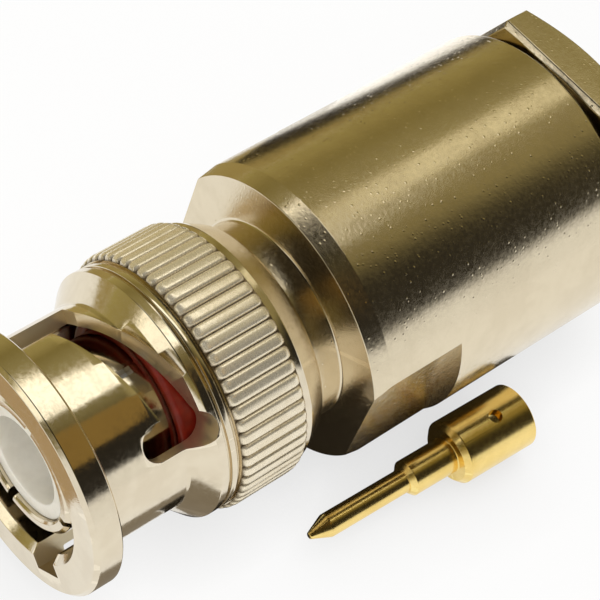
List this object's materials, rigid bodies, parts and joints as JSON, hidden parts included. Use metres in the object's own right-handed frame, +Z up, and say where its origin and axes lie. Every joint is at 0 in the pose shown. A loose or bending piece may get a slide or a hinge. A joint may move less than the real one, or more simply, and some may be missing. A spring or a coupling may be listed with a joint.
{
  "type": "bayonet coaxial cable plug",
  "caption": "Bayonet-locking coaxial cable plug of clamp type for thick cable, with its knurled coupling nut, hexagon clamp nut and loose gold contact pin.",
  "frame": {"origin": "on the plug's axis, in the plane of the coupling nut's front face", "axes": "+X along the plug's axis towards the cable, +Z up from the table, +Y to the side away from the loose pin"},
  "size_m": [0.0375, 0.0206, 0.0166],
  "materials": {
    "nickel_plate": "warm nickel plate on turned brass",
    "gold_plate": "bright gold plate",
    "spring_steel": "spring metal",
    "white_insulator": "waxy white fluoroplastic",
    "red_gasket": "satin silicone rubber",
    "dark_gasket": "matt rubber"
  },
  "bodies": {
    "plug": {"plug_body": "nickel_plate", "outer_contact": "nickel_plate", "front_insulator": "white_insulator", "rear_insulator": "white_insulator", "face_gasket": "red_gasket", "retaining_ring": "spring_steel", "wave_washer_front": "spring_steel", "wave_washer_rear": "spring_steel", "braid_clamp": "nickel_plate", "cable_gasket": "dark_gasket", "contact_pin": "gold_plate"},
    "spring_follower": {"thrust_washer": "nickel_plate"},
    "coupling": {"coupling_nut": "nickel_plate"},
    "clamp_follower": {"slip_washer": "nickel_plate"},
    "clamp": {"clamp_nut": "nickel_plate"}
  },
  "joints": [
    {"name": "coupling_float", "type": "slide", "parent": "plug", "child": "spring_follower", "axis": [-1, 0, 0], "range_m": [0, 0.0012], "stiffness_N_per_m": 3000, "deforming": ["wave_washer_front", "wave_washer_rear"]},
    {"name": "coupling_turn", "type": "hinge", "parent": "spring_follower", "child": "coupling", "pos_m": [0, 0, 0], "axis": [1, 0, 0], "continuous": true},
    {"name": "clamp_travel", "type": "slide", "parent": "plug", "child": "clamp_follower", "axis": [1, 0, 0], "range_m": [0, 0.0045]},
    {"name": "clamp_turn", "type": "hinge", "parent": "clamp_follower", "child": "clamp", "pos_m": [0.03, 0, 0], "axis": [1, 0, 0], "range_deg": [0, 1620]}
  ],
  "couplings": [
    {"joint": "clamp_travel", "follows": "clamp_turn", "m_per_rad": 0.00015915}
  ]
}
